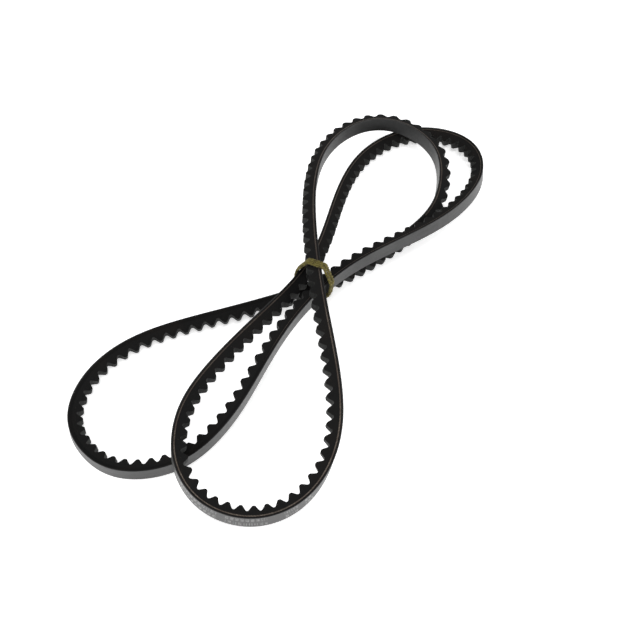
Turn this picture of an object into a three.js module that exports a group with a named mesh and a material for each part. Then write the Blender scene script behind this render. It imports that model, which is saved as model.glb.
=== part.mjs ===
// Raw-edge cogged V belt, 13 mm wide and 1800 mm long, as it is stored: the endless belt stands on
// its edge, is folded into four loops and is bound at the waist with a yarn tie of two turns.
//
// Millimetres, +Z up. The origin is on the surface that the belt rests on, below the middle of its
// bounding box. Every rubber and fabric layer of the belt is its own closed ring along one shared
// route, and the tie is two rings of yarn with a knot and its two tails.

import * as THREE from 'three';

// ---- Belt section ----
const TOP_WIDTH = 13;
const GROOVE_ANGLE = 40;
const THICKNESS = 9.6;
const COG_DEPTH = 4;
const COG_COUNT = 188;

// Depth below the back at which each layer ends, from the back inwards
const BACKING_DEPTH = 0.8;
const CUSHION_DEPTH = 1.4;
const CORD_DEPTH = 2.3;
const ADHESION_DEPTH = 2.9;
// Space left for the bond between two layers, and above the cogged body, whose facets are finer
const BOND_GAP = 0.06;
const COGGED_BOND_GAP = 0.16;

// Share of one cog pitch taken by each flat and slope, starting at the middle of a valley
const VALLEY_FLAT = 0.16;
const TIP_FLAT = 0.24;

// ---- Route of the belt ----
// Each guide point is [x, y, height, lean]. x and y are the middle of the back, height is how far the
// lower edge of the back is above the floor, and lean is the tilt of the section in degrees: above
// zero the upper edge tips away from the cogs, and at minus half the groove angle the lower flank
// lies flat. The cogs are always on the left of the direction of travel.
const ROUTE = [
  // up through the waist on top of the bundle, and clockwise round the far left loop
  [20, -38, 33, 4],
  [11, 49, 31, 4],
  [16, 123, 21, 4],
  [49, 163, 17, 4],
  [84, 166, 14, 3],
  [112, 134, 15, 0],
  [112, 101, 10, -4],
  [103, 76, 0, -9],
  // back through the waist at the bottom of the bundle, and counter-clockwise round the left loop
  [70, 44, 2, -13],
  [21, 4, 6.5, -17],
  [-49, -15, 0, -20],
  [-112, -34, 0, -20],
  [-145, -66, 0, -20],
  [-152, -104, 0, -12],
  [-135.5, -129, 0, -2],
  [-114.5, -142.5, 0, 0],
  [-87.5, -143, 0, 2],
  [-59, -133, 3, 6],
  // through the waist in the middle of the bundle, and counter-clockwise round the far right loop
  [-31, -101, 11, 6],
  [-8, -45.5, 18.5, 7],
  [37, 13, 17, 5],
  [109, 49, 14.5, -2],
  [154, 104, 9, -8],
  [149, 162, 2, -11],
  [94, 180, 0, -11],
  [43, 144, 0, -10],
  [23, 75, 7, -9],
  // through the waist again, and counter-clockwise round the near loop
  [11, 8, 18, -9],
  [-34, -43, 19, -11],
  [-72, -91, 16, -12],
  [-77, -125, 17, -11],
  [-72, -148, 16, -6],
  [-57, -167, 6, -3],
  [-24, -177, 0, -2],
  [14.5, -162.8, 2.5, 4],
  [36.9, -116.6, 15.5, 12],
];
const ROUTE_SAMPLES = 3600;

// ---- Yarn tie ----
// The yarn is pulled flat against the belt, so it is wider along the bundle than it is thick
const YARN_WIDTH = 2.6;
const YARN_THICKNESS = 2;
const YARN_SIDES = 8;
const YARN_CLEARANCE = 0.4;
// The tie lies in an upright plane across the bundle. This is the middle of that plane on the floor,
// and the direction of the bundle that it stands square to.
const TIE_X = 12;
const TIE_Y = -2.5;
const BUNDLE_DIRECTION = 62;
// Corners of the bundle of belt strands inside the tie, counter-clockwise: [sideways, height]
const BUNDLE_CORNERS = [
  [13.8, 30.3],
  [8.4, 44.4],
  [-2.8, 43.2],
  [-11.2, 30],
  [-13.4, 17.2],
  [-13.9, 3.9],
  [3, 4.9],
  [12.5, 17.4],
];
const CORNER_STEPS = 2;
// Distance between the two turns, side by side along the bundle
const TURN_PITCH = 2.9;
// The knot sits against the left side of the turns: half its depth, half its width, half its height
const KNOT_SIZE = [2.2, 3.2, 2.8];
const KNOT_CENTRE = [-19.5, 5.4];
const KNOT_SEGMENTS = 14;
const KNOT_RINGS = 10;
// Way of each cut end out of the knot: [sideways, height, along the bundle]
const TAIL_PATHS = {
  tie_tail_long: [[-20, 4.6, 3.4], [-19.8, 3.4, 6.4], [-19, 2.4, 9.6], [-17.6, 1.8, 12.6]],
  tie_tail_short: [[-19.8, 3.4, -4.6], [-19.6, 2.4, -5.6], [-18.9, 1.7, -6.6], [-17.9, 1.5, -7.6]],
};
const TAIL_STEPS = 8;

// ---- Finishes ----
const BACKING_FINISH = { color: 0x4a4c4e, roughness: 0.6 };
const EMBEDDING_FINISH = { color: 0x151617, roughness: 0.85 };
const CORD_FINISH = { color: 0x6b6157, roughness: 0.9 };
const COMPRESSION_FINISH = { color: 0x1b1c1d, roughness: 0.9 };
const YARN_FINISH = { color: 0x7d7540, roughness: 0.95 };

const halfAngle = THREE.MathUtils.degToRad(GROOVE_ANGLE / 2);
const up = new THREE.Vector3(0, 0, 1);

// Uniform cubic B-spline through the closed ring of guide points, at t from 0 to 1
function routeAt(t) {
  const span = (t % 1) * ROUTE.length;
  const start = Math.floor(span);
  const f = span - start;
  const weights = [
    (1 - f) ** 3 / 6,
    (3 * f ** 3 - 6 * f ** 2 + 4) / 6,
    (-3 * f ** 3 + 3 * f ** 2 + 3 * f + 1) / 6,
    f ** 3 / 6,
  ];
  const blend = (column) => weights.reduce((sum, weight, i) => {
    const guide = ROUTE[(start + i - 1 + ROUTE.length) % ROUTE.length];
    return sum + weight * guide[column];
  }, 0);
  return { x: blend(0), y: blend(1), height: blend(2), lean: THREE.MathUtils.degToRad(blend(3)) };
}

// The middle line of the belt's back
class BackLine extends THREE.Curve {
  getPoint(t, target = new THREE.Vector3()) {
    const { x, y, height, lean } = routeAt(t);
    return target.set(x, y, height + TOP_WIDTH / 2 * Math.cos(lean));
  }
}

// The section's own axes at a place on the route: inward points from the back to the cogs, and
// across points from the lower edge to the upper edge
function sectionFrame(line, t) {
  const travel = line.getTangent(t);
  const inward = new THREE.Vector3().crossVectors(up, travel).normalize();
  const across = new THREE.Vector3().crossVectors(travel, inward);
  const { lean } = routeAt(t);
  inward.applyAxisAngle(travel, lean);
  across.applyAxisAngle(travel, lean);
  return { back: line.getPoint(t), inward, across };
}

// One frame at each cog valley, evenly spaced along the back
function valleyFrames() {
  const line = new BackLine();
  line.arcLengthDivisions = ROUTE_SAMPLES;
  return Array.from({ length: COG_COUNT }, (_, i) => {
    const t = line.getUtoTmapping(i / COG_COUNT);
    return sectionFrame(line, t);
  });
}

// A frame part of the way from one valley to the next, so that all layers share the same facets
function mixFrames(from, to, share) {
  return {
    back: from.back.clone().lerp(to.back, share),
    inward: from.inward.clone().lerp(to.inward, share),
    across: from.across.clone().lerp(to.across, share),
  };
}

// The V section between two depths below the back, as its four corners
function sectionRing(frame, outerDepth, innerDepth) {
  const corner = (depth, side) => frame.back.clone()
    .addScaledVector(frame.inward, depth)
    .addScaledVector(frame.across, side * (TOP_WIDTH / 2 - depth * Math.tan(halfAngle)));
  return [corner(outerDepth, 1), corner(innerDepth, 1), corner(innerDepth, -1), corner(outerDepth, -1)];
}

// Closed solid through a closed chain of rings that all have the same number of points
function closedLoft(rings) {
  const size = rings[0].length;
  const positions = rings.flat().flatMap((point) => point.toArray());
  const indices = [];
  rings.forEach((_, i) => {
    const here = i * size;
    const next = ((i + 1) % rings.length) * size;
    for (let j = 0; j < size; j += 1) {
      const k = (j + 1) % size;
      // The diagonal swaps half way round, so that facing surfaces of two layers have the same facets
      if (j < size / 2) indices.push(here + j, next + k, here + k, here + j, next + j, next + k);
      else indices.push(here + j, next + j, here + k, here + k, next + j, next + k);
    }
  });
  const geometry = new THREE.BufferGeometry();
  geometry.setAttribute('position', new THREE.Float32BufferAttribute(positions, 3));
  geometry.setIndex(indices);
  geometry.computeVertexNormals();
  return geometry;
}

function part(name, geometry, finish) {
  const material = new THREE.MeshStandardMaterial({ ...finish, metalness: 0 });
  const mesh = new THREE.Mesh(geometry, material);
  mesh.name = name;
  return mesh;
}

// A layer of even thickness that follows the whole belt
function layerGeometry(frames, outerDepth, innerDepth, gap = BOND_GAP) {
  return closedLoft(frames.map((frame) => sectionRing(frame, outerDepth, innerDepth - gap)));
}

// The thick inner body, whose depth steps between valley and cog tip once in every pitch
function coggedGeometry(frames) {
  const valleyDepth = THICKNESS - COG_DEPTH;
  const profile = [
    { share: VALLEY_FLAT / 2, depth: valleyDepth },
    { share: (1 - TIP_FLAT) / 2, depth: THICKNESS },
    { share: (1 + TIP_FLAT) / 2, depth: THICKNESS },
    { share: 1 - VALLEY_FLAT / 2, depth: valleyDepth },
  ];
  const rings = frames.flatMap((frame, i) => {
    const next = frames[(i + 1) % frames.length];
    return profile.map(({ share, depth }) => {
      const section = mixFrames(frame, next, share);
      return sectionRing(section, ADHESION_DEPTH, depth);
    });
  });
  return closedLoft(rings);
}

function makeBelt() {
  const frames = valleyFrames();
  const backing = layerGeometry(frames, 0, BACKING_DEPTH);
  const cushion = layerGeometry(frames, BACKING_DEPTH, CUSHION_DEPTH);
  const cord = layerGeometry(frames, CUSHION_DEPTH, CORD_DEPTH);
  const adhesion = layerGeometry(frames, CORD_DEPTH, ADHESION_DEPTH, COGGED_BOND_GAP);
  const belt = new THREE.Group();
  belt.add(
    part('backing_fabric', backing, BACKING_FINISH),
    part('cushion_rubber', cushion, EMBEDDING_FINISH),
    part('tension_cord', cord, CORD_FINISH),
    part('adhesion_rubber', adhesion, EMBEDDING_FINISH),
    part('compression_rubber', coggedGeometry(frames), COMPRESSION_FINISH),
  );
  return belt;
}

// Line of a yarn pulled taut round convex corners: an arc at each corner, straight between them
function tautLine(corners, distance) {
  const points = corners.map(([x, y]) => new THREE.Vector2(x, y));
  const edgeNormals = points.map((point, i) => {
    const edge = points[(i + 1) % points.length].clone().sub(point).normalize();
    return new THREE.Vector2(edge.y, -edge.x);
  });
  return points.flatMap((point, i) => {
    const before = edgeNormals[(i + points.length - 1) % points.length];
    const after = edgeNormals[i];
    return Array.from({ length: CORNER_STEPS + 1 }, (_, step) => {
      const normal = before.clone().lerp(after, step / CORNER_STEPS).normalize();
      return { middle: point.clone().addScaledVector(normal, distance), normal };
    });
  });
}

// The tie is built with X sideways, Y along the bundle and Z up, then turned into place
function turnGeometry(offset) {
  const distance = YARN_THICKNESS / 2 + YARN_CLEARANCE;
  const rings = tautLine(BUNDLE_CORNERS, distance).map(({ middle, normal }) => (
    Array.from({ length: YARN_SIDES }, (_, i) => {
      const angle = i / YARN_SIDES * Math.PI * 2;
      const out = YARN_THICKNESS / 2 * Math.cos(angle);
      return new THREE.Vector3(
        middle.x + normal.x * out,
        offset - YARN_WIDTH / 2 * Math.sin(angle),
        middle.y + normal.y * out,
      );
    })
  ));
  return closedLoft(rings);
}

function knotGeometry() {
  const [sideways, height] = KNOT_CENTRE;
  return new THREE.SphereGeometry(1, KNOT_SEGMENTS, KNOT_RINGS)
    .scale(...KNOT_SIZE)
    .translate(sideways, 0, height);
}

function tailGeometry(points) {
  const path = new THREE.CatmullRomCurve3(
    points.map(([sideways, height, along]) => new THREE.Vector3(sideways, along, height)),
  );
  const middle = new THREE.Vector2();
  const section = new THREE.Shape(
    Array.from({ length: YARN_SIDES }, (_, i) => (
      new THREE.Vector2(YARN_THICKNESS / 2, 0).rotateAround(middle, i / YARN_SIDES * Math.PI * 2)
    )),
  );
  return new THREE.ExtrudeGeometry(section, { extrudePath: path, steps: TAIL_STEPS });
}

function makeTie() {
  const yarn = (name, geometry) => part(name, geometry, YARN_FINISH);
  const tie = new THREE.Group();
  tie.add(
    yarn('tie_turn_near', turnGeometry(-TURN_PITCH / 2)),
    yarn('tie_turn_far', turnGeometry(TURN_PITCH / 2)),
    yarn('tie_knot', knotGeometry()),
  );
  Object.entries(TAIL_PATHS).forEach(([name, points]) => tie.add(yarn(name, tailGeometry(points))));
  tie.position.set(TIE_X, TIE_Y, 0);
  tie.rotation.z = THREE.MathUtils.degToRad(BUNDLE_DIRECTION - 90);
  return tie;
}

const assembly = new THREE.Group();
assembly.add(makeBelt(), makeTie());

export default assembly;
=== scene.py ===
"""Raw-edge cogged V belt, folded on its edge into four loops and tied at the waist with olive yarn.

The belt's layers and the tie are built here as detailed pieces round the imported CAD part, which has
the same route and section. Everything is in metres, in the part's own frame: +Z up, the floor at 0.
"""

import math

import bpy
import numpy as np
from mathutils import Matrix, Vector


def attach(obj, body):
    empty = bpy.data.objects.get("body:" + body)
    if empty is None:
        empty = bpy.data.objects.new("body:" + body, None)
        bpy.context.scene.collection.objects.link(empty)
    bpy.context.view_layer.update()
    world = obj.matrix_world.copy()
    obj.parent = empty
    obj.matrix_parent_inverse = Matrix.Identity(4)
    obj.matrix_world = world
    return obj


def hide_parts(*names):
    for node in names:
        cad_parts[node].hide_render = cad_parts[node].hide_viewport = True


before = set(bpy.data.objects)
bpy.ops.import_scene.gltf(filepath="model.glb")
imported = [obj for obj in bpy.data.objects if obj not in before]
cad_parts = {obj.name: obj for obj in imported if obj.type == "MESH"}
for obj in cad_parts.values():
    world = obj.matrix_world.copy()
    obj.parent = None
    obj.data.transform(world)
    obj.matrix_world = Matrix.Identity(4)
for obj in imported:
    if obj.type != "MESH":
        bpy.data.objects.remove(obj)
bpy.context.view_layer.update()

MM = 0.001
UP = np.array([0.0, 0.0, 1.0])

# ---- Belt section, the same as the CAD part's ----
TOP_WIDTH = 13 * MM
FLANK_ANGLE = math.radians(20)
THICKNESS = 9.6 * MM
COG_DEPTH = 4 * MM
COG_COUNT = 188
VALLEY_FLAT = 0.16
TIP_FLAT = 0.24

# Depth below the back at which each layer ends. The cords lie half in each rubber layer.
BACKING_DEPTH = 0.8 * MM
CORD_MIDDLE = 1.85 * MM
ADHESION_DEPTH = 2.9 * MM
CORD_DIAMETER = 0.96 * MM
CORD_PITCH = 1.06 * MM
CORD_PROUD = 0.05 * MM
CORD_SIDES = 8
# Share of the way round at which the cord at the upper edge is cut through its middle
CORD_PHASE = 0.92
# A cord is cut off where less than this share of its radius would be left inside the flank
CORD_OVERHANG = 0.6
CORD_TWIST = 1.9 * MM
CORD_SLANT = 1.3
# The cord is freshly cut and pale between these places along the belt, and rubbed dark elsewhere
CORD_FRESH_START = (1.50, 1.58)
CORD_FRESH_END = 1.74
CORD_RUBBED_SHARE = 0.62

# Fine detail of the meshes
COG_STEPS = 20
COG_ROUNDING = 0.055
COG_ROUNDING_SAMPLES = 9
FLANK_POINTS = 5
FACE_POINTS = 7
LAYER_STEPS = 8
CORD_STEPS = 6
CUT_EDGE_BEVEL = 0.16 * MM
BACKING_BEVEL = 0.14 * MM
BACKING_FACE_POINTS = 9
STRAIGHT_POINTS = 2
SHARP_ANGLE = math.radians(38)

# ---- Route of the belt: x, y and height of the back's lower edge in metres, and lean in degrees ----
ROUTE = np.array([
    # up through the waist on top of the bundle, and clockwise round the far left loop
    (0.020, -0.038, 0.033, 4),
    (0.011, 0.049, 0.031, 4),
    (0.016, 0.123, 0.021, 4),
    (0.049, 0.163, 0.017, 4),
    (0.084, 0.166, 0.014, 3),
    (0.112, 0.134, 0.015, 0),
    (0.112, 0.101, 0.010, -4),
    (0.103, 0.076, 0.000, -9),
    # back through the waist at the bottom, and counter-clockwise round the left loop
    (0.070, 0.044, 0.002, -13),
    (0.021, 0.004, 0.0065, -17),
    (-0.049, -0.015, 0.000, -20),
    (-0.112, -0.034, 0.000, -20),
    (-0.145, -0.066, 0.000, -20),
    (-0.152, -0.104, 0.000, -12),
    (-0.1355, -0.129, 0.000, -2),
    (-0.1145, -0.1425, 0.000, 0),
    (-0.0875, -0.143, 0.000, 2),
    (-0.059, -0.133, 0.003, 6),
    # through the waist in the middle, and counter-clockwise round the far right loop
    (-0.031, -0.101, 0.011, 6),
    (-0.008, -0.0455, 0.0185, 7),
    (0.037, 0.013, 0.017, 5),
    (0.109, 0.049, 0.0145, -2),
    (0.154, 0.104, 0.009, -8),
    (0.149, 0.162, 0.002, -11),
    (0.094, 0.180, 0.000, -11),
    (0.043, 0.144, 0.000, -10),
    (0.023, 0.075, 0.007, -9),
    # through the waist again, and counter-clockwise round the near loop
    (0.011, 0.008, 0.018, -9),
    (-0.034, -0.043, 0.019, -11),
    (-0.072, -0.091, 0.016, -12),
    (-0.077, -0.125, 0.017, -11),
    (-0.072, -0.148, 0.016, -6),
    (-0.057, -0.167, 0.006, -3),
    (-0.024, -0.177, 0.000, -2),
    (0.0145, -0.1628, 0.0025, 4),
    (0.0369, -0.1166, 0.0155, 12),
])
ROUTE_SAMPLES = 3600
TANGENT_STEP = 0.0001

# ---- Yarn tie, in its own frame: sideways across the bundle, along the bundle, and height ----
TIE_PLACE = (12 * MM, -2.5 * MM)
TIE_TURN = math.radians(62 - 90)
BUNDLE_CORNERS = np.array([
    (13.8, 30.3), (8.4, 44.4), (-2.8, 43.2), (-11.2, 30.0),
    (-13.4, 17.2), (-13.9, 3.9), (3.0, 4.9), (12.5, 17.4),
]) * MM
TURN_PITCH = 2.9 * MM
YARN_DISTANCE = 1.15 * MM
PLY_COUNT = 3
PLY_RADIUS = 0.55 * MM
# The plies wind round an oval, because the yarn is pulled flat against the belt
ORBIT_OUT = 0.42 * MM
ORBIT_ALONG = 0.86 * MM
PLY_SIDES = 9
TWIST_LENGTH = 6.6 * MM
YARN_STEP = 0.35 * MM
# How far the plies stray from an even twist: waves in the length of a yarn, and their strength
TWIST_STRAYS = ((2, 5, 9), 0.18)
ORBIT_STRAYS = ((3, 7, 16), 0.08)
RADIUS_STRAYS = ((6, 13, 29, 41), 0.07)
TURN_STRAYS = ((1, 2, 3), 0.10 * MM)
# Loose fibres: how many, how thick, how many yarn steps long, and how they wind and stand off
FIBRES_PER_MM = 9
FIBRE_RADIUS = 0.045 * MM
FIBRE_POINTS = 9
FIBRE_SIDES = 3
FIBRE_SPAN = (9, 20)
FIBRE_WIND = (0.5, 2.2)
LOOSE_SHARE = 0.2
LOOSE_LIFT = (0.25, 1.0)
CORNER_POINTS = 6
TURN_SMOOTHING = 6
TAIL_SMOOTHING = 12
# The plies of a cut end open out over its last stretch and taper at the tip
SPLAY_START = 0.75
TAIL_SPLAY = 0.5
TAIL_SCALE = 0.95
TIP_TAPER = 9
TIP_SHARE = 0.25
KNOT_SCALE = 0.72
KNOT_MARGIN = 0.9 * MM
KNOT_FLATTENING = (0.62, 1.0, 1.0)
KNOT_POINTS = 90
# A direction that no yarn starts along
SIDE_HINT = (0.31, 0.72, 0.62)
YARN_SEEDS = {"near": 11, "far": 12, "knot": 13, "long": 14, "short": 15}
KNOT_SIZE = (2.2 * MM, 3.2 * MM, 2.8 * MM)
KNOT_CENTRE = (-19.5 * MM, 5.4 * MM)
TAIL_PATHS = {
    "long": [(-20, 4.6, 3.4), (-19.8, 3.4, 6.4), (-19, 2.4, 9.6), (-17.6, 1.8, 12.6)],
    "short": [(-19.8, 3.4, -4.6), (-19.6, 2.4, -5.6), (-18.9, 1.7, -6.6), (-17.9, 1.5, -7.6)],
}

# ---- Worn marks on the back, in place of the print ----
# Where along the belt each group starts and ends
MARK_GROUPS = [(1.580, 1.611), (1.6165, 1.6425), (1.6535, 1.6625), (1.668, 1.674)]
MARK_ROWS = [3.3 * MM, -2.9 * MM]
MARK_HEIGHT = 4.2 * MM
MARK_PITCH = 3.2 * MM
MARK_SOFT_EDGE = 0.1 * MM
# Shares of the pitch from the middle of a block: its soft edge, and the edge of its hollow middle
MARK_BLOCK_EDGE = (0.30, 0.34)
MARK_HOLLOW_EDGE = (0.10, 0.15)
MARK_HOLLOW_SHARE = 0.45
# The second row is shifted by this many blocks, so that the two don't line up
MARK_ROW_SHIFT = 7.4
MARK_STRENGTH = 0.6

# Stretches of the back painted lighter, as painted light and floor reflection that fall unevenly on it: start
# and end along the belt, and how much
PAINTED_LIGHT_STRETCHES = [
    (0.150, 0.225, 0.45),
    (0.590, 0.700, 0.35),
    (0.670, 0.775, 0.22),
    (0.775, 0.905, 0.80),
    (0.950, 1.100, 0.20),
    (1.540, 1.700, 0.95),
]
# How far the painted light fades in and out at each end of a stretch
PAINTED_LIGHT_FADE = 0.03

# ---- Camera: what it looks at, and from where ----
CAMERA_TARGET = Vector((16.75 * MM, -19.8 * MM, 0.0))
CAMERA_DISTANCE = 548.6 * MM
CAMERA_ELEVATION = math.radians(55.32)
CAMERA_ANGLE = math.radians(45.69)

# ---- Floor and light ----
FLOOR_HALF = 4.0
# The floor is a white sheet lit a little from below, which takes the shadows away
FLOOR_GLOW = 0.55
WORLD_COLOUR = (1.0, 1.0, 1.0, 1.0)
WORLD_STRENGTH = 0.35
SOFTBOXES = [
    # name, place, aim, width, height, power in watts
    ("softbox_left", (-1.25, -0.15, 0.62), (0, 0, 0.02), 1.0, 0.8, 10.0),
    ("softbox_right", (1.25, -0.15, 0.62), (0, 0, 0.02), 1.0, 0.8, 10.0),
    ("softbox_top", (0.0, -0.25, 1.9), (0, 0, 0.0), 0.9, 0.9, 13.0),
]


def grey(value, red=1.0, green=1.0, blue=1.0):
    """A shade of grey as a colour, tinted if its parts differ."""
    return (value * red, value * green, value * blue, 1.0)


# ---- Colours ----
FLOOR_DARK = grey(0.92)
FLOOR_LIGHT = grey(0.93)
BACK_DARK = grey(0.013, 0.98, 1.0, 1.0)
BACK_LIGHT = grey(0.022, 0.98, 1.0, 1.0)
BACK_RUBBED = grey(0.036)
BACK_EDGE = grey(0.040)
BACK_CUT = grey(0.005, 1.1, 1.0, 0.95)
# Painted light: the lighter tone painted on stretches of the back in place of uneven light and floor
# reflection
BACK_PAINTED_LIGHT = grey(0.062)
MARK_COLOUR = grey(0.34, 1.0, 1.0, 0.96)
WEAVE_SHADOW = grey(0.004)
FLANK_DARK = grey(0.0035)
FLANK_LIGHT = grey(0.009)
FLANK_BROWN = (0.0105, 0.008, 0.0065, 1.0)
BAND_DARK = grey(0.0022)
BAND_LIGHT = grey(0.005)
FIBRE_SPECK = (0.11, 0.085, 0.06, 1.0)
COG_DARK = (0.013, 0.0135, 0.013, 1.0)
COG_LIGHT = (0.024, 0.025, 0.0235, 1.0)
COG_DUST = (0.036, 0.036, 0.033, 1.0)
CORD_DARK = (0.055, 0.042, 0.033, 1.0)
CORD_LIGHT = (0.17, 0.14, 0.115, 1.0)
CORD_STAINED = (0.045, 0.031, 0.025, 1.0)
CORD_RUBBED = (0.022, 0.016, 0.013, 1.0)
CORD_SHADOW = grey(0.01)
YARN_DARK = (0.080, 0.064, 0.013, 1.0)
YARN_LIGHT = (0.235, 0.200, 0.048, 1.0)
YARN_PALE = (0.36, 0.315, 0.11, 1.0)
YARN_SHADOW = (0.022, 0.016, 0.005, 1.0)


# ---------------------------------------------------------------- geometry of the route

def route_at(t):
    """Middle of the back and lean of the section at each t, on a closed uniform cubic B-spline."""
    span = (t % 1.0) * len(ROUTE)
    start = np.floor(span).astype(int)
    f = (span - start)[:, None]
    weights = (
        (1 - f) ** 3 / 6,
        (3 * f ** 3 - 6 * f ** 2 + 4) / 6,
        (-3 * f ** 3 + 3 * f ** 2 + 3 * f + 1) / 6,
        f ** 3 / 6,
    )
    row = sum(weight * ROUTE[(start + i - 1) % len(ROUTE)] for i, weight in enumerate(weights))
    lean = np.radians(row[:, 3])
    height = row[:, 2] + TOP_WIDTH / 2 * np.cos(lean)
    return np.stack([row[:, 0], row[:, 1], height], axis=1), lean


def unit(vectors):
    """Each vector scaled to length one."""
    return vectors / np.linalg.norm(vectors, axis=1, keepdims=True)


def length_table():
    """Length along the back at each sample of the route."""
    t = np.linspace(0, 1, ROUTE_SAMPLES + 1)
    back, _ = route_at(t)
    steps = np.linalg.norm(np.diff(back, axis=0), axis=1)
    return t, np.concatenate([[0.0], np.cumsum(steps)])


TABLE_T, TABLE_LENGTH = length_table()
BELT_LENGTH = TABLE_LENGTH[-1]


def section_frames(along):
    """Back point, inward axis and across axis at each distance along the belt."""
    t = np.interp(along % BELT_LENGTH, TABLE_LENGTH, TABLE_T)
    back, lean = route_at(t)
    ahead, _ = route_at(t + TANGENT_STEP)
    behind, _ = route_at(t - TANGENT_STEP)
    travel = unit(ahead - behind)
    inward = unit(np.cross(UP, travel))
    across = np.cross(travel, inward)
    turn = lean[:, None]
    leaned_inward = inward * np.cos(turn) + np.cross(travel, inward) * np.sin(turn)
    leaned_across = across * np.cos(turn) + np.cross(travel, across) * np.sin(turn)
    return back, leaned_inward, leaned_across


def half_width(depth):
    """Half of the section's width at a depth below the back."""
    return TOP_WIDTH / 2 - depth * math.tan(FLANK_ANGLE)


# ---------------------------------------------------------------- meshes

def sweep_faces(ring_count, ring_size, closed):
    """Quads between each ring and the next, and two end caps if the sweep is open."""
    rings = np.arange(ring_count if closed else ring_count - 1)
    columns = np.arange(ring_size)
    here = rings[:, None] * ring_size
    following = ((rings + 1) % ring_count)[:, None] * ring_size
    right = (columns + 1) % ring_size
    quads = np.stack([here + columns, here + right, following + right, following + columns], axis=2)
    faces = quads.reshape(-1, 4).tolist()
    if not closed:
        faces.append(list(range(ring_size))[::-1])
        faces.append([(ring_count - 1) * ring_size + i for i in range(ring_size)])
    return faces


def new_mesh_object(name, points, faces, materials):
    """An object made from points and faces, linked to the scene."""
    mesh = bpy.data.meshes.new(name)
    mesh.from_pydata(points.reshape(-1, 3).tolist(), [], faces)
    for material in materials:
        mesh.materials.append(material)
    piece = bpy.data.objects.new(name, mesh)
    bpy.context.scene.collection.objects.link(piece)
    return piece


def face_outward(piece):
    """Turns the faces over if the closed mesh is inside out."""
    mesh = piece.data
    mesh.calc_loop_triangles()
    corners = np.empty(len(mesh.loop_triangles) * 3, dtype=np.int64)
    mesh.loop_triangles.foreach_get("vertices", corners)
    points = np.empty(len(mesh.vertices) * 3)
    mesh.vertices.foreach_get("co", points)
    a, b, c = points.reshape(-1, 3)[corners].reshape(-1, 3, 3).transpose(1, 0, 2)
    if np.einsum("ij,ij->i", a, np.cross(b, c)).sum() < 0:
        mesh.flip_normals()


def add_belt_coordinates(piece, coordinates, ring_count, ring_size):
    """Stores (along, side, depth) on every face corner, so that it doesn't jump where the ring closes."""
    mesh = piece.data
    corners = np.empty(len(mesh.loops), dtype=np.int64)
    mesh.loops.foreach_get("vertex_index", corners)
    values = coordinates.reshape(-1, 3)[corners]
    polygon_starts = np.empty(len(mesh.polygons), dtype=np.int64)
    polygon_sizes = np.empty(len(mesh.polygons), dtype=np.int64)
    mesh.polygons.foreach_get("loop_start", polygon_starts)
    mesh.polygons.foreach_get("loop_total", polygon_sizes)
    last_ring = (ring_count - 1) * ring_size
    highest = np.maximum.reduceat(corners, polygon_starts)
    closing = np.repeat(highest >= last_ring, polygon_sizes) & (corners < ring_size)
    values[closing, 0] += BELT_LENGTH
    attribute = mesh.attributes.new("belt", "FLOAT_VECTOR", "CORNER")
    attribute.data.foreach_set("vector", values.astype(np.float32).ravel())


def belt_sweep(name, along, depth, side, materials, closed=True):
    """A swept piece of the belt. depth and side hold one row of section points for each station."""
    back, inward, across = section_frames(along)
    points = back[:, None] + inward[:, None] * depth[..., None] + across[:, None] * side[..., None]
    ring_count, ring_size = depth.shape
    piece = new_mesh_object(name, points, sweep_faces(ring_count, ring_size, closed), materials)
    coordinates = np.stack([np.broadcast_to(along[:, None], depth.shape), side, depth], axis=2)
    if closed:
        add_belt_coordinates(piece, coordinates, ring_count, ring_size)
    else:
        attribute = piece.data.attributes.new("belt", "FLOAT_VECTOR", "POINT")
        attribute.data.foreach_set("vector", coordinates.astype(np.float32).ravel())
    face_outward(piece)
    piece.data.shade_smooth()
    piece.data.set_sharp_from_angle(angle=SHARP_ANGLE)
    return piece


def section_outline(outer, inner, flank_points, face_points, bevel_outer, bevel_inner):
    """Depth and side of the section's points between two depths, one row a station.

    The points go down the upper flank, across the inner face, up the lower flank and back. A flank
    with no bevel shares its end with the face next to it."""
    inner = np.asarray(inner)
    first = 0 if bevel_outer else 1
    last = flank_points if bevel_inner else flank_points - 1
    share = np.linspace(0, 1, flank_points)[first:last]
    flank_depth = outer + bevel_outer + (inner - bevel_inner - outer - bevel_outer) * share[None, :]
    flank_side = half_width(flank_depth)
    cross = np.linspace(1, -1, face_points)[None, :]
    inner_side = (half_width(inner) - bevel_inner) * cross
    inner_depth = np.broadcast_to(inner, inner_side.shape)
    outer_side = np.broadcast_to(-(half_width(outer) - bevel_outer) * cross, inner_side.shape)
    outer_depth = np.full(inner_side.shape, outer)
    depth = np.concatenate([flank_depth, inner_depth, flank_depth[:, ::-1], outer_depth], axis=1)
    side = np.concatenate([flank_side, inner_side, -flank_side[:, ::-1], outer_side], axis=1)
    return depth, side


def stations(steps_per_cog):
    """Evenly spaced places along the belt."""
    count = COG_COUNT * steps_per_cog
    return np.arange(count) * BELT_LENGTH / count


def layer(name, outer, inner, materials, face_points=STRAIGHT_POINTS, bevel_outer=0.0):
    """A layer of even thickness."""
    along = stations(LAYER_STEPS)
    inner_depths = np.full((len(along), 1), inner)
    depth, side = section_outline(outer, inner_depths, STRAIGHT_POINTS, face_points, bevel_outer, 0.0)
    return belt_sweep(name, along, depth, side, materials)


def cog_depth_at(share):
    """Depth of the cogged face at a share of the pitch from the middle of a valley, corners rounded."""
    valley = THICKNESS - COG_DEPTH
    corners = [VALLEY_FLAT / 2, (1 - TIP_FLAT) / 2, (1 + TIP_FLAT) / 2, 1 - VALLEY_FLAT / 2]
    depths = [valley, THICKNESS, THICKNESS, valley]
    window = np.linspace(-COG_ROUNDING, COG_ROUNDING, COG_ROUNDING_SAMPLES)
    nearby = (share[:, None] + window) % 1.0
    return np.interp(nearby, corners, depths).mean(axis=1)


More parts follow.
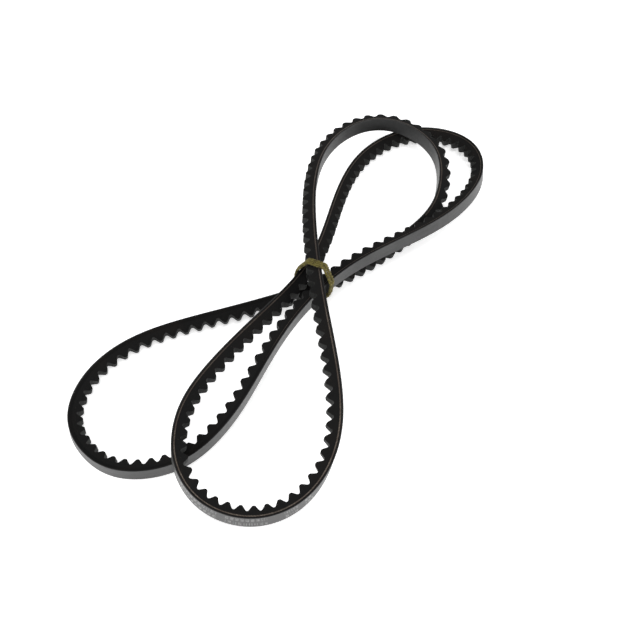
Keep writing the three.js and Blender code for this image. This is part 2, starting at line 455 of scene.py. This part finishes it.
def cogged_body(materials):
    """The thick inner body with its moulded cogs."""
    along = stations(COG_STEPS)
    share = (np.arange(len(along)) % COG_STEPS) / COG_STEPS
    inner = cog_depth_at(share)[:, None]
    depth, side = section_outline(ADHESION_DEPTH, inner, FLANK_POINTS, FACE_POINTS, 0.0, CUT_EDGE_BEVEL)
    piece = belt_sweep("cogged_body", along, depth, side, materials)
    # The flanks are cut and the inner face is moulded, so each has its own finish
    ring_size = depth.shape[1]
    column = np.tile(np.arange(ring_size), len(along))
    first = FLANK_POINTS - 1
    moulded = (column >= first) & (column < first + FACE_POINTS - 1)
    piece.data.polygons.foreach_set("material_index", moulded.astype(np.int32))
    return piece


def cord_winding(material):
    """The one tension cord, wound side by side round the belt and cut flush at both flanks."""
    half = half_width(CORD_MIDDLE)
    radius = CORD_DIAMETER / 2
    turns_before = math.ceil(half / CORD_PITCH) + 1
    along = np.arange(-turns_before, turns_before, 1 / (COG_COUNT * CORD_STEPS)) * BELT_LENGTH
    turn = along / BELT_LENGTH
    phase = half - CORD_PITCH * (math.floor(half / CORD_PITCH) + CORD_PHASE)
    centre = CORD_PITCH * turn + phase
    kept = np.abs(centre) < half + radius * CORD_OVERHANG
    along, centre = along[kept], centre[kept]
    angle = np.arange(CORD_SIDES) / CORD_SIDES * 2 * math.pi
    depth = np.tile(CORD_MIDDLE + radius * np.sin(angle), (len(centre), 1))
    limit = half_width(depth) + CORD_PROUD
    side = np.clip(centre[:, None] + radius * np.cos(angle)[None, :], -limit, limit)
    return belt_sweep("tension_cord_winding", along, depth, side, [material], closed=False)


# ---------------------------------------------------------------- yarn

def to_frame(points):
    """From the tie's own frame (sideways, along the bundle, height) to the part's."""
    turned = np.array(points, float)
    x, y = turned[..., 0].copy(), turned[..., 1].copy()
    turned[..., 0] = TIE_PLACE[0] + x * math.cos(TIE_TURN) - y * math.sin(TIE_TURN)
    turned[..., 1] = TIE_PLACE[1] + x * math.sin(TIE_TURN) + y * math.cos(TIE_TURN)
    return turned


def resample(points, step, closed):
    """Evenly spaced points on a line of points."""
    line = np.concatenate([points, points[:1]]) if closed else points
    distance = np.concatenate([[0], np.cumsum(np.linalg.norm(np.diff(line, axis=0), axis=1))])
    count = max(4, round(distance[-1] / step))
    wanted = np.linspace(0, distance[-1], count, endpoint=not closed)
    return np.stack([np.interp(wanted, distance, line[:, i]) for i in range(3)], axis=1)


def smooth_line(points, rounds, closed):
    """Softens the corners of a line."""
    for _ in range(rounds):
        before, after = np.roll(points, 1, axis=0), np.roll(points, -1, axis=0)
        softened = (before + 2 * points + after) / 4
        if not closed:
            softened[0], softened[-1] = points[0], points[-1]
        points = softened
    return points


def line_frames(points, closed):
    """Tangent and two axes across a line, carried along it without twisting."""
    if closed:
        tangent = unit(np.roll(points, -1, axis=0) - np.roll(points, 1, axis=0))
    else:
        tangent = unit(np.gradient(points, axis=0))
    first = np.cross(tangent[0], SIDE_HINT)
    normals = [first / np.linalg.norm(first)]
    for direction in tangent[1:]:
        carried = normals[-1] - direction * np.dot(normals[-1], direction)
        normals.append(carried / np.linalg.norm(carried))
    normal = np.array(normals)
    return tangent, normal, np.cross(tangent, normal)


def tube_rings(points, radius, sides, closed):
    """Rings of a tube along a line. radius is one number for each point."""
    _, normal, binormal = line_frames(points, closed)
    if closed:
        # Spreads the turn left over at the join along the whole line
        left = math.atan2(np.dot(normal[-1], binormal[0]), np.dot(normal[-1], normal[0]))
        spread = -left * np.arange(len(points)) / len(points)
    else:
        spread = np.zeros(len(points))
    angle = np.arange(sides) / sides * 2 * math.pi + spread[:, None]
    offset = normal[:, None] * np.cos(angle)[..., None] + binormal[:, None] * np.sin(angle)[..., None]
    return points[:, None] + offset * np.asarray(radius)[:, None, None]


class TubeMesh:
    """Collects tubes into one mesh, with the fibre direction of each as an attribute."""

    def __init__(self):
        self.points, self.faces, self.coordinates, self.count = [], [], [], 0

    def add(self, line, radius, sides, closed=False, shade=0.5):
        rings = tube_rings(line, radius, sides, closed)
        ring_count = len(line)
        for face in sweep_faces(ring_count, sides, closed):
            self.faces.append([self.count + i for i in face])
        step = np.linalg.norm(np.diff(line, axis=0), axis=1)
        along = np.concatenate([[0], np.cumsum(step)])
        around = np.arange(sides) / sides
        table = np.stack(np.broadcast_arrays(along[:, None], around[None, :], shade), axis=2)
        self.points.append(rings.reshape(-1, 3))
        self.coordinates.append(table.reshape(-1, 3))
        self.count += ring_count * sides

    def build(self, name, material):
        points = to_frame(np.concatenate(self.points))
        piece = new_mesh_object(name, points, self.faces, [material])
        attribute = piece.data.attributes.new("yarn", "FLOAT_VECTOR", "POINT")
        values = np.concatenate(self.coordinates).astype(np.float32)
        attribute.data.foreach_set("vector", values.ravel())
        face_outward(piece)
        piece.data.shade_smooth()
        return piece


def wave_noise(rng, count, waves, strength):
    """A gently varying number along a line: a few sine waves with random size and phase."""
    position = np.arange(count) / count * 2 * math.pi
    total = np.zeros(count)
    for wave in waves:
        total += rng.normal() * np.sin(wave * position + rng.uniform(0, 2 * math.pi))
    return strength * total / math.sqrt(len(waves))


def add_yarn(tubes, rng, line, closed, scale=1.0, splay=0.0, axes=None):
    """Three twisted plies along a line, with fibres lying on them and a few standing off."""
    normal, binormal = axes or line_frames(line, closed)[1:]
    count = len(line)
    length = np.linalg.norm(np.diff(line, axis=0), axis=1).sum()
    turns = max(1, round(length / TWIST_LENGTH))
    position = np.arange(count) / (count if closed else count - 1)
    opening = 1 + splay * np.clip((position - SPLAY_START) / (1 - SPLAY_START), 0, 1) ** 2
    plies = []
    for ply in range(PLY_COUNT):
        angle = 2 * math.pi * (turns * position + ply / PLY_COUNT)
        angle += wave_noise(rng, count, *TWIST_STRAYS)
        orbit = scale * opening * (1 + wave_noise(rng, count, *ORBIT_STRAYS))
        ply_line = line + normal * (orbit * ORBIT_OUT * np.cos(angle))[:, None] \
            + binormal * (orbit * ORBIT_ALONG * np.sin(angle))[:, None]
        radius = PLY_RADIUS * scale * (1 + wave_noise(rng, count, *RADIUS_STRAYS))
        if not closed:
            radius = radius * np.clip((1 - position) * TIP_TAPER + TIP_SHARE, TIP_SHARE, 1)
        tubes.add(ply_line, radius, PLY_SIDES, closed, shade=rng.uniform(0.3, 0.7))
        _, ply_normal, ply_binormal = line_frames(ply_line, closed)
        plies.append((ply_line, ply_normal, ply_binormal, radius))
    add_fibres(tubes, rng, plies, closed, length, scale)


def add_fibres(tubes, rng, plies, closed, length, scale):
    """Thin fibres wound on the surface of the plies. One in five lifts off into the air."""
    for _ in range(int(length / MM * FIBRES_PER_MM)):
        ply_line, normal, binormal, radius = plies[rng.integers(len(plies))]
        count = len(ply_line)
        span = rng.integers(*FIBRE_SPAN)
        if closed:
            places = (rng.integers(count) + np.linspace(0, span, FIBRE_POINTS)) % count
        else:
            start = rng.integers(max(1, count - span))
            places = np.minimum(start + np.linspace(0, span, FIBRE_POINTS), count - 1)
        index = places.astype(int)
        loose = rng.random() < LOOSE_SHARE
        rise = np.linspace(0, 1, FIBRE_POINTS) ** 2
        lift = rise * rng.uniform(*LOOSE_LIFT) * MM if loose else 0.0
        angle = rng.uniform(0, 2 * math.pi) + np.linspace(0, rng.uniform(*FIBRE_WIND), FIBRE_POINTS)
        distance = radius[index] * rng.uniform(0.96, 1.05) + lift
        step = ply_line[(index + 1) % count] - ply_line[index]
        base = ply_line[index] + step * (places - index)[:, None]
        line = base + normal[index] * (distance * np.cos(angle))[:, None] \
            + binormal[index] * (distance * np.sin(angle))[:, None]
        thin = FIBRE_RADIUS * scale * rng.uniform(0.7, 1.3) * np.linspace(1, 0.5, FIBRE_POINTS)
        tubes.add(line, thin, FIBRE_SIDES, False, shade=rng.uniform(0.0, 1.0))


def taut_loop(distance):
    """Line of a yarn pulled tight round the bundle, as (sideways, 0, height)."""
    corners = BUNDLE_CORNERS
    edges = np.roll(corners, -1, axis=0) - corners
    normals = unit(np.stack([edges[:, 1], -edges[:, 0]], axis=1))
    loop = []
    for i, corner in enumerate(corners):
        for share in np.linspace(0, 1, CORNER_POINTS):
            normal = normals[i - 1] * (1 - share) + normals[i] * share
            normal = normal / np.linalg.norm(normal)
            loop.append(corner + normal * distance)
    loop = np.array(loop)
    return np.stack([loop[:, 0], np.zeros(len(loop)), loop[:, 1]], axis=1)


def yarn_turn(name, offset, seed, material):
    """One turn of the tie, pulled tight round the bundle."""
    rng = np.random.default_rng(seed)
    line = resample(taut_loop(YARN_DISTANCE), YARN_STEP, True)
    line = smooth_line(line, TURN_SMOOTHING, True)
    sway = wave_noise(rng, len(line), *TURN_STRAYS)
    line[:, 1] = offset + sway
    tangent = line_frames(line, True)[0]
    along_bundle = np.broadcast_to([0.0, 1.0, 0.0], line.shape)
    tubes = TubeMesh()
    add_yarn(tubes, rng, line, True, axes=(np.cross(tangent, along_bundle), along_bundle))
    return tubes.build(name, material)


def yarn_knot(name, seed, material):
    """Both ends of the yarn drawn into one tight overhand knot, as a trefoil."""
    rng = np.random.default_rng(seed)
    t = np.linspace(0, 2 * math.pi, KNOT_POINTS, endpoint=False)
    trefoil = np.stack([
        np.sin(3 * t),
        (np.sin(t) + 2 * np.sin(2 * t)) / 3,
        (np.cos(t) - 2 * np.cos(2 * t)) / 3,
    ], axis=1)
    reach = np.array(KNOT_SIZE) - KNOT_MARGIN
    line = trefoil * reach * KNOT_FLATTENING
    line += np.array([KNOT_CENTRE[0], 0, KNOT_CENTRE[1]])
    line = resample(line, YARN_STEP, True)
    tubes = TubeMesh()
    add_yarn(tubes, rng, line, True, scale=KNOT_SCALE)
    return tubes.build(name, material)


def yarn_tail(name, path, seed, material):
    """A cut end of the yarn, its plies opening out at the tip."""
    rng = np.random.default_rng(seed)
    guides = np.array([(sideways, along, height) for sideways, height, along in path]) * MM
    line = smooth_line(resample(guides, YARN_STEP, False), TAIL_SMOOTHING, False)
    tubes = TubeMesh()
    add_yarn(tubes, rng, line, False, scale=TAIL_SCALE, splay=TAIL_SPLAY)
    return tubes.build(name, material)


# ---------------------------------------------------------------- materials

class Shader:
    """A small helper that adds nodes to one material and joins them up."""

    def __init__(self, name):
        self.material = bpy.data.materials.new(name)
        self.material.use_nodes = True
        self.tree = self.material.node_tree
        self.surface = self.tree.nodes["Principled BSDF"]

    def node(self, kind, inputs=(), output=0, **settings):
        made = self.tree.nodes.new(kind)
        for name, value in settings.items():
            setattr(made, name, value)
        for socket, value in dict(inputs).items():
            self.set(made.inputs[socket], value)
        return made.outputs[output]

    def set(self, socket, value):
        if isinstance(value, bpy.types.NodeSocket):
            self.tree.links.new(value, socket)
        else:
            socket.default_value = value

    def math(self, operation, *values):
        return self.node("ShaderNodeMath", dict(enumerate(values)), operation=operation)

    def attribute(self, name):
        """A vector stored on the mesh. For the belt it is (along, side, depth), in metres."""
        return self.node("ShaderNodeAttribute", output="Vector", attribute_name=name)

    def parts(self, vector):
        """The three parts of a vector."""
        split = self.tree.nodes.new("ShaderNodeSeparateXYZ")
        self.tree.links.new(vector, split.inputs[0])
        return split.outputs[0], split.outputs[1], split.outputs[2]

    def place(self):
        return self.node("ShaderNodeTexCoord", output="Object")

    def stretched(self, vector, scale):
        return self.node("ShaderNodeMapping", {"Vector": vector, "Scale": scale})

    def noise(self, vector, scale, detail=4.0, roughness=0.55):
        return self.node("ShaderNodeTexNoise", {
            "Vector": vector, "Scale": scale, "Detail": detail, "Roughness": roughness,
        })

    def between(self, value, low, high, to_low=0.0, to_high=1.0):
        """Maps a value from low..high to to_low..to_high, smoothly and without going past either."""
        return self.node("ShaderNodeMapRange", {
            "Value": value, "From Min": low, "From Max": high, "To Min": to_low, "To Max": to_high,
        }, interpolation_type="SMOOTHSTEP", clamp=True)

    def mix(self, share, first, second):
        made = self.tree.nodes.new("ShaderNodeMix")
        made.data_type = "RGBA"
        self.set(made.inputs[0], share)
        self.set(made.inputs[6], first)
        self.set(made.inputs[7], second)
        return made.outputs[2]

    def bump(self, height, strength, distance):
        return self.node("ShaderNodeBump", {"Height": height, "Strength": strength, "Distance": distance})

    def finish(self, **inputs):
        for name, value in inputs.items():
            self.set(self.surface.inputs[name.replace("_", " ")], value)
        return self.material


def mark_mask(shader, along, side):
    """One where a worn mark is printed: rows of plain blocks that stand in for the size code."""
    rows = None
    for row in MARK_ROWS:
        distance = shader.math("ABSOLUTE", shader.math("SUBTRACT", side, row))
        inside = shader.between(distance, MARK_HEIGHT / 2 - MARK_SOFT_EDGE, MARK_HEIGHT / 2, 1.0, 0.0)
        rows = inside if rows is None else shader.math("MAXIMUM", rows, inside)
    groups = None
    for start, end in MARK_GROUPS:
        distance = shader.math("ABSOLUTE", shader.math("SUBTRACT", along, (start + end) / 2))
        half = (end - start) / 2
        inside = shader.between(distance, half - MARK_SOFT_EDGE, half, 1.0, 0.0)
        groups = inside if groups is None else shader.math("MAXIMUM", groups, inside)
    lower = shader.math("LESS_THAN", side, 0.0)
    shift = shader.math("MULTIPLY", lower, MARK_ROW_SHIFT)
    position = shader.math("ADD", shader.math("DIVIDE", along, MARK_PITCH), shift)
    cell = shader.math("FRACT", position)
    off_middle = shader.math("ABSOLUTE", shader.math("SUBTRACT", cell, 0.5))
    block = shader.between(off_middle, *MARK_BLOCK_EDGE, 1.0, 0.0)
    outside_hollow = shader.between(off_middle, *MARK_HOLLOW_EDGE, 0.0, 1.0)
    number = shader.math("FLOOR", position)
    picked = shader.node("ShaderNodeTexWhiteNoise", {"W": number}, noise_dimensions="1D")
    solid = shader.math("GREATER_THAN", picked, MARK_HOLLOW_SHARE)
    block = shader.math("MULTIPLY", block, shader.math("MAXIMUM", outside_hollow, solid))
    return shader.math("MULTIPLY", shader.math("MULTIPLY", rows, groups), block)


def painted_light_mask(shader, along):
    """How much the back is painted lighter at each place along the belt: painted light and reflection, in
    place of light that falls unevenly.
    """
    total = None
    for start, end, amount in PAINTED_LIGHT_STRETCHES:
        rise = shader.between(along, start, start + PAINTED_LIGHT_FADE)
        fall = shader.between(along, end - PAINTED_LIGHT_FADE, end, amount, 0.0)
        part = shader.math("MULTIPLY", rise, fall)
        total = part if total is None else shader.math("MAXIMUM", total, part)
    return total


def backing_material():
    """Rubber-coated cloth, worn to a satin grey: fine bias weave, rubbed streaks, edges worn lighter, and
    stretches of painted light.
    """
    shader = Shader("backing_cloth")
    belt = shader.attribute("belt")
    along, side, depth = shader.parts(belt)
    place = shader.place()
    # Threads cross the belt on the bias. A whole number of them goes round, so the weave has no join.
    thread = 2 * math.pi * round(BELT_LENGTH / (1.1 * MM)) / BELT_LENGTH
    phase_along = shader.math("MULTIPLY", along, thread)
    phase_side = shader.math("MULTIPLY", side, thread)
    warp = shader.math("SINE", shader.math("ADD", phase_along, phase_side))
    weft = shader.math("SINE", shader.math("SUBTRACT", phase_along, phase_side))
    weave = shader.math("MULTIPLY", warp, weft)
    mottle = shader.noise(place, scale=90.0, detail=5.0, roughness=0.6)
    fine = shader.noise(place, scale=900.0, detail=3.0, roughness=0.6)
    rubbed = shader.stretched(belt, (30.0, 1800.0, 1800.0))
    streaks = shader.noise(rubbed, scale=1.0, detail=4.0, roughness=0.6)
    tone = shader.mix(shader.between(mottle, 0.35, 0.68), BACK_DARK, BACK_LIGHT)
    # Painted light: stretches of the back painted lighter in place of light and floor reflection that fall
    # unevenly
    patchy = shader.between(mottle, 0.2, 0.6, 0.7, 1.0)
    painted_light = shader.math("MULTIPLY", painted_light_mask(shader, along), patchy)
    tone = shader.mix(painted_light, tone, BACK_PAINTED_LIGHT)
    tone = shader.mix(shader.between(streaks, 0.55, 0.8, 0.0, 0.5), tone, BACK_RUBBED)
    tone = shader.mix(shader.between(weave, -0.6, 0.9, 0.10, 0.0), tone, WEAVE_SHADOW)
    edge = shader.between(shader.math("ABSOLUTE", side), TOP_WIDTH / 2 - 0.45 * MM, TOP_WIDTH / 2)
    cut = shader.between(depth, 0.12 * MM, 0.3 * MM)
    tone = shader.mix(shader.math("MULTIPLY", edge, 0.35), tone, BACK_EDGE)
    tone = shader.mix(cut, tone, BACK_CUT)
    worn = shader.between(shader.noise(place, scale=700.0, detail=6.0, roughness=0.75), 0.40, 0.56)
    marks = shader.math("MULTIPLY", mark_mask(shader, along, side), worn)
    outside = shader.between(depth, 0.05 * MM, 0.1 * MM, 1.0, 0.0)
    marks = shader.math("MULTIPLY", marks, outside)
    tone = shader.mix(shader.math("MULTIPLY", marks, MARK_STRENGTH), tone, MARK_COLOUR)
    relief = shader.math("ADD", shader.math("MULTIPLY", weave, 0.35), shader.math("MULTIPLY", fine, 0.8))
    normal = shader.bump(relief, strength=0.30, distance=0.06 * MM)
    gloss = shader.between(streaks, 0.3, 0.7, 0.34, 0.45)
    return shader.finish(
        Base_Color=tone, Roughness=gloss, Normal=normal, Specular_IOR_Level=0.3,
    )


def cut_rubber_material(name, dark, light, brown):
    """A raw cut edge: matt black, ground along the belt, with short fibres showing as specks."""
    shader = Shader(name)
    belt = shader.attribute("belt")
    place = shader.place()
    grain = shader.noise(place, scale=1300.0, detail=4.0, roughness=0.7)
    mottle = shader.noise(place, scale=45.0, detail=4.0, roughness=0.6)
    ground = shader.stretched(belt, (160.0, 2600.0, 2600.0))
    streaks = shader.noise(ground, scale=1.0, detail=3.0, roughness=0.6)
    tone = shader.mix(shader.between(grain, 0.3, 0.75), dark, light)
    tone = shader.mix(shader.between(mottle, 0.4, 0.75, 0.0, 0.5), tone, brown)
    specks = shader.node("ShaderNodeTexVoronoi", {"Vector": place, "Scale": 1100.0, "Randomness": 1.0})
    fibre = shader.between(specks, 0.10, 0.2, 1.0, 0.0)
    rare = shader.between(shader.noise(place, scale=520.0, detail=2.0), 0.60, 0.66)
    shown = shader.math("MULTIPLY", shader.math("MULTIPLY", fibre, rare), 0.55)
    tone = shader.mix(shown, tone, FIBRE_SPECK)
    relief = shader.math("ADD", shader.math("MULTIPLY", grain, 0.7), shader.math("MULTIPLY", streaks, 0.5))
    normal = shader.bump(relief, strength=0.5, distance=0.10 * MM)
    return shader.finish(
        Base_Color=tone, Roughness=shader.between(grain, 0.3, 0.7, 0.72, 0.9), Normal=normal,
        Specular_IOR_Level=0.14,
    )


def moulded_rubber_material():
    """The moulded cog faces: a little greyer, with fine lines across the belt from the mould."""
    shader = Shader("moulded_cogs")
    belt = shader.attribute("belt")
    place = shader.place()
    lines = shader.noise(shader.stretched(belt, (2600.0, 90.0, 2600.0)), scale=1.0, detail=3.0, roughness=0.6)
    mottle = shader.noise(place, scale=160.0, detail=4.0, roughness=0.6)
    grain = shader.noise(place, scale=1500.0, detail=3.0, roughness=0.6)
    tone = shader.mix(shader.between(lines, 0.3, 0.7), COG_DARK, COG_LIGHT)
    tone = shader.mix(shader.between(mottle, 0.45, 0.75, 0.0, 0.45), tone, COG_DUST)
    relief = shader.math("ADD", shader.math("MULTIPLY", lines, 0.8), shader.math("MULTIPLY", grain, 0.3))
    normal = shader.bump(relief, strength=0.55, distance=0.12 * MM)
    return shader.finish(
        Base_Color=tone, Roughness=shader.between(mottle, 0.3, 0.7, 0.62, 0.78), Normal=normal,
        Specular_IOR_Level=0.2,
    )


def cord_material():
    """Cut polyester cord: brown-grey, with lighter beads where its twisted plies are cut."""
    shader = Shader("tension_cord")
    belt = shader.attribute("belt")
    along, _, depth = shader.parts(belt)
    place = shader.place()
    drawn = shader.stretched(belt, (500.0, 2500.0, 2500.0))
    fibre = shader.noise(drawn, scale=1.0, detail=4.0, roughness=0.6)
    twist = 2 * math.pi / CORD_TWIST
    slant = shader.math("MULTIPLY", shader.math("SUBTRACT", depth, CORD_MIDDLE), twist * CORD_SLANT)
    beads = shader.math("SINE", shader.math("ADD", shader.math("MULTIPLY", along, twist), slant))
    patch = shader.noise(place, scale=60.0, detail=3.0, roughness=0.6)
    tone = shader.mix(shader.between(fibre, 0.3, 0.7), CORD_DARK, CORD_LIGHT)
    tone = shader.mix(shader.between(beads, -0.2, 0.9, 0.35, 0.0), tone, CORD_SHADOW)
    tone = shader.mix(shader.between(patch, 0.45, 0.6, 0.0, 0.6), tone, CORD_STAINED)
    way_round = shader.math("FRACT", shader.math("DIVIDE", along, BELT_LENGTH))
    lap = shader.math("MULTIPLY", way_round, BELT_LENGTH)
    near_loop = shader.between(lap, *CORD_FRESH_START)
    before_waist = shader.between(lap, CORD_FRESH_END, BELT_LENGTH, 1.0, 0.5)
    fresh = shader.math("MULTIPLY", near_loop, before_waist)
    kept_pale = shader.math("MULTIPLY", fresh, CORD_RUBBED_SHARE)
    tone = shader.mix(shader.math("SUBTRACT", CORD_RUBBED_SHARE, kept_pale), tone, CORD_RUBBED)
    normal = shader.bump(shader.math("ADD", beads, fibre), strength=0.6, distance=0.10 * MM)
    return shader.finish(
        Base_Color=tone, Roughness=0.85, Normal=normal, Sheen_Weight=0.1, Specular_IOR_Level=0.25,
    )


def yarn_material():
    """Olive yarn of loose fibres: streaks along each ply, and every fibre its own shade."""
    shader = Shader("olive_yarn")
    vector = shader.attribute("yarn")
    _, _, shade = shader.parts(vector)
    place = shader.place()
    fibre = shader.noise(shader.stretched(vector, (700.0, 14.0, 1.0)), scale=1.0, detail=4.0, roughness=0.65)
    patch = shader.noise(place, scale=420.0, detail=4.0, roughness=0.6)
    tone = shader.mix(shader.between(fibre, 0.3, 0.7), YARN_DARK, YARN_LIGHT)
    tone = shader.mix(shader.between(shade, 0.5, 1.0, 0.0, 0.55), tone, YARN_PALE)
    tone = shader.mix(shader.between(patch, 0.46, 0.66, 0.0, 0.75), tone, YARN_SHADOW)
    normal = shader.bump(fibre, strength=0.8, distance=0.15 * MM)
    return shader.finish(
        Base_Color=tone, Roughness=0.9, Normal=normal, Sheen_Weight=0.15, Sheen_Roughness=0.5,
        Specular_IOR_Level=0.2,
    )


# ---------------------------------------------------------------- the object

def add_piece(piece, node):
    """Says what a piece moves with, and hides the CAD node that it stands for."""
    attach(piece, "root")
    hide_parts(node)


def build_belt():
    """The five layers of the belt."""
    flank = cut_rubber_material("cut_flank", FLANK_DARK, FLANK_LIGHT, FLANK_BROWN)
    band = cut_rubber_material("embedding_rubber", BAND_DARK, BAND_LIGHT, FLANK_BROWN)
    cloth = layer("backing_cloth", 0.0, BACKING_DEPTH, [backing_material()],
                  BACKING_FACE_POINTS, BACKING_BEVEL)
    cushion = layer("cushion_band", BACKING_DEPTH, CORD_MIDDLE, [band])
    adhesion = layer("adhesion_band", CORD_MIDDLE, ADHESION_DEPTH, [band])
    add_piece(cloth, "backing_fabric")
    add_piece(cushion, "cushion_rubber")
    add_piece(cord_winding(cord_material()), "tension_cord")
    add_piece(adhesion, "adhesion_rubber")
    add_piece(cogged_body([flank, moulded_rubber_material()]), "compression_rubber")


def build_tie():
    """The two turns, the knot and the two cut ends."""
    yarn = yarn_material()
    for which, offset in (("near", -TURN_PITCH / 2), ("far", TURN_PITCH / 2)):
        turn = yarn_turn(f"yarn_turn_{which}", offset, YARN_SEEDS[which], yarn)
        add_piece(turn, f"tie_turn_{which}")
    add_piece(yarn_knot("yarn_knot", YARN_SEEDS["knot"], yarn), "tie_knot")
    for which, path in TAIL_PATHS.items():
        tail = yarn_tail(f"yarn_tail_{which}", path, YARN_SEEDS[which], yarn)
        add_piece(tail, f"tie_tail_{which}")


# ---------------------------------------------------------------- floor, light and camera

def build_floor():
    """A plain pale floor."""
    corners = np.array([(-1, -1), (1, -1), (1, 1), (-1, 1)]) * FLOOR_HALF
    points = np.array([(x, y, 0.0) for x, y in corners])
    shader = Shader("floor")
    paper = shader.noise(shader.place(), scale=40.0, detail=3.0)
    tone = shader.mix(shader.between(paper, 0.3, 0.7), FLOOR_DARK, FLOOR_LIGHT)
    material = shader.finish(
        Base_Color=tone, Roughness=0.9, Specular_IOR_Level=0.1,
        Emission_Color=(1.0, 1.0, 1.0, 1.0), Emission_Strength=FLOOR_GLOW,
    )
    floor = new_mesh_object("floor", points, [[0, 1, 2, 3]], [material])


def add_softbox(name, place, aim, width, height, power):
    """A rectangular lamp that points at its aim."""
    light = bpy.data.lights.new(name, "AREA")
    light.shape = "RECTANGLE"
    light.size = width
    light.size_y = height
    light.energy = power
    lamp = bpy.data.objects.new(name, light)
    lamp.location = place
    lamp.rotation_euler = (Vector(aim) - Vector(place)).to_track_quat("-Z", "Y").to_euler()
    bpy.context.scene.collection.objects.link(lamp)


def build_light():
    """An even white surround and three softboxes."""
    world = bpy.data.worlds.new("studio")
    world.use_nodes = True
    background = world.node_tree.nodes["Background"]
    background.inputs["Color"].default_value = WORLD_COLOUR
    background.inputs["Strength"].default_value = WORLD_STRENGTH
    bpy.context.scene.world = world
    for softbox in SOFTBOXES:
        add_softbox(*softbox)


def build_camera():
    """The camera, at the photo's angle."""
    camera = bpy.data.cameras.new("camera")
    camera.angle = CAMERA_ANGLE
    camera.clip_start = 0.01
    holder = bpy.data.objects.new("camera", camera)
    away = Vector((0, -math.cos(CAMERA_ELEVATION), math.sin(CAMERA_ELEVATION)))
    holder.location = CAMERA_TARGET + away * CAMERA_DISTANCE
    holder.rotation_euler = (-away).to_track_quat("-Z", "Y").to_euler()
    bpy.context.scene.collection.objects.link(holder)
    bpy.context.scene.camera = holder


build_belt()
build_tie()
build_floor()
build_light()
build_camera()
bpy.context.scene.view_settings.view_transform = "Standard"
